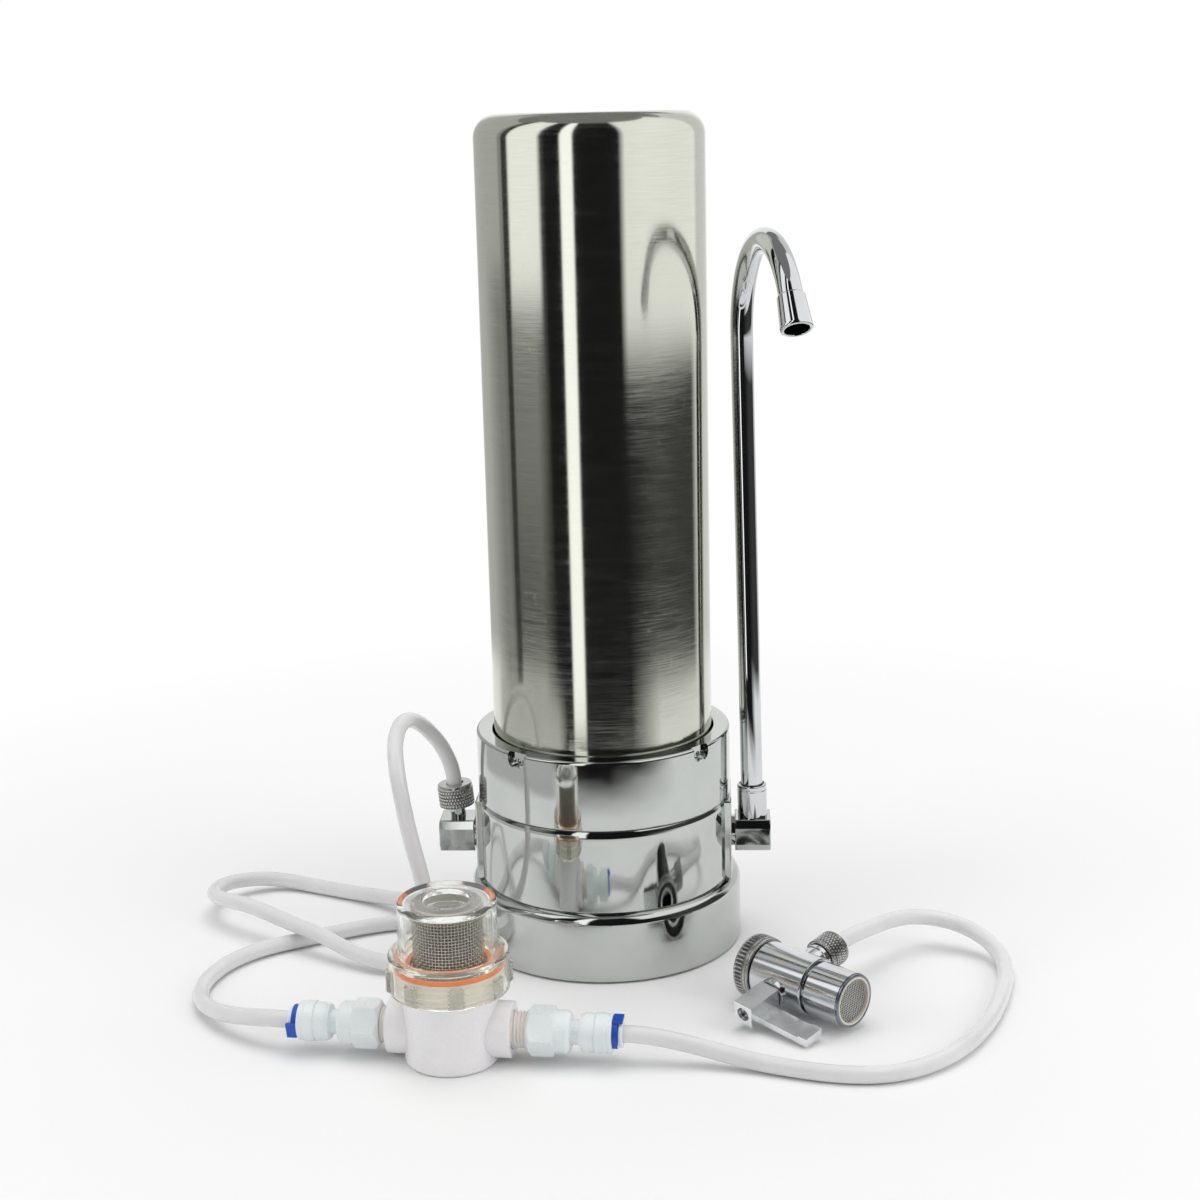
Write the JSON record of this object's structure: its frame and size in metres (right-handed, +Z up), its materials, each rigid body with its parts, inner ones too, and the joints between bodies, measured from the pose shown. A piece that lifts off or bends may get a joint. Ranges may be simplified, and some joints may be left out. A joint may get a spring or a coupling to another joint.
{
  "type": "countertop water filter",
  "caption": "Countertop water filter: steel canister clamped to a chrome stand with a swivel spout, fed through an inline strainer and a tap diverter by thin tubes.",
  "frame": {"origin": "centre of the foot pad's underside, on the canister's axis", "axes": "+Z up along the canister, +X towards the spout's port, -Y the front with the strainer"},
  "size_m": [0.3399, 0.1987, 0.3377],
  "materials": {
    "chrome": "polished",
    "brushed": "brushed around the axis",
    "steel": "knurled",
    "mesh": "woven",
    "brass": "machined",
    "rubber": "matt",
    "carbon": "pressed carbon",
    "white_plastic": "moulded",
    "pink_white": "moulded",
    "fitting": "moulded",
    "tube": "extruded, milky",
    "clear": "clear moulded plastic",
    "orange": "silicone",
    "blue": "moulded",
    "cream": "moulded"
  },
  "bodies": {
    "stand": {"base_skirt": "chrome", "foot_pad": "rubber", "base_screws": "steel", "head_body": "chrome", "canister_seal": "rubber", "cartridge_bottom_cap": "white_plastic", "cartridge_oring": "rubber", "cartridge_shell": "white_plastic", "cartridge_media": "carbon", "cartridge_top_cap": "white_plastic", "port_seals": "rubber", "inlet_nipple": "chrome", "outlet_nipple": "chrome", "inlet_elbow": "chrome", "outlet_elbow": "chrome", "inlet_stem": "chrome", "inlet_ferrule": "brass", "spout_socket": "chrome", "spout_orings": "rubber", "strainer_tee": "pink_white", "strainer_gasket": "orange", "fitting_body_a": "fitting", "fitting_body_b": "fitting", "fitting_orings": "rubber", "collet_a": "fitting", "collet_b": "fitting", "inlet_tube": "tube", "supply_tube": "tube", "diverter_body": "chrome", "diverter_washer": "rubber", "diverter_outlet": "chrome", "diverter_ring": "cream", "diverter_screen": "mesh", "diverter_ferrule": "brass"},
    "canister": {"canister": "brushed"},
    "collar": {"clamp_collar": "chrome"},
    "inlet_nut": {"inlet_nut": "steel"},
    "spout": {"spout_pipe": "chrome", "spout_nozzle": "chrome"},
    "strainer_cap": {"strainer_cap": "clear", "strainer_screen": "mesh"},
    "strainer_ring": {"strainer_ring": "clear"},
    "clip_a": {"lock_clip_a": "blue"},
    "clip_b": {"lock_clip_b": "blue"},
    "lever": {"diverter_stem": "brass", "stem_orings": "rubber", "diverter_lever": "chrome", "lever_screw": "steel"},
    "swivel_nut": {"diverter_nut": "steel"},
    "tube_nut": {"diverter_tube_nut": "steel"}
  },
  "joints": [
    {"name": "spout_swivel", "type": "hinge", "parent": "stand", "child": "spout", "pos_m": [0.0617, 0, 0.0512], "axis": [-0.0168, 0, 0.9999], "range_deg": [-40, 190]},
    {"name": "canister_lift", "type": "slide", "parent": "stand", "child": "canister", "axis": [0, 0, 1], "range_m": [0, 0.26]},
    {"name": "collar_turn", "type": "hinge", "parent": "canister", "child": "collar", "pos_m": [0, 0, 0.077], "axis": [0, 0, 1], "continuous": true},
    {"name": "inlet_nut_turn", "type": "hinge", "parent": "stand", "child": "inlet_nut", "pos_m": [-0.0617, 0, 0.0512], "axis": [-0.0872, 0, 0.9962], "continuous": true},
    {"name": "strainer_cap_lift", "type": "slide", "parent": "stand", "child": "strainer_cap", "axis": [0, 0, 1], "range_m": [0, 0.06]},
    {"name": "strainer_ring_turn", "type": "hinge", "parent": "strainer_cap", "child": "strainer_ring", "pos_m": [-0.051, -0.119, 0.037], "axis": [0, 0, 1], "continuous": true},
    {"name": "clip_a_pull", "type": "slide", "parent": "stand", "child": "clip_a", "axis": [-0.0842, -0.9623, -0.2588], "range_m": [0, 0.012]},
    {"name": "clip_b_pull", "type": "slide", "parent": "stand", "child": "clip_b", "axis": [0, 0, 1], "range_m": [0, 0.015]},
    {"name": "diverter_lever_turn", "type": "hinge", "parent": "stand", "child": "lever", "pos_m": [0.07519, -0.07735, 0.0125], "axis": [-0.659, -0.7319, -0.1736], "range_deg": [0, 90]},
    {"name": "diverter_nut_turn", "type": "hinge", "parent": "stand", "child": "swivel_nut", "pos_m": [0.0607, -0.0643, 0.0125], "axis": [0.7431, -0.6691, 0], "continuous": true},
    {"name": "tube_nut_turn", "type": "hinge", "parent": "stand", "child": "tube_nut", "pos_m": [0.07519, -0.07735, 0.0125], "axis": [0.659, 0.7319, 0.1736], "continuous": true}
  ]
}
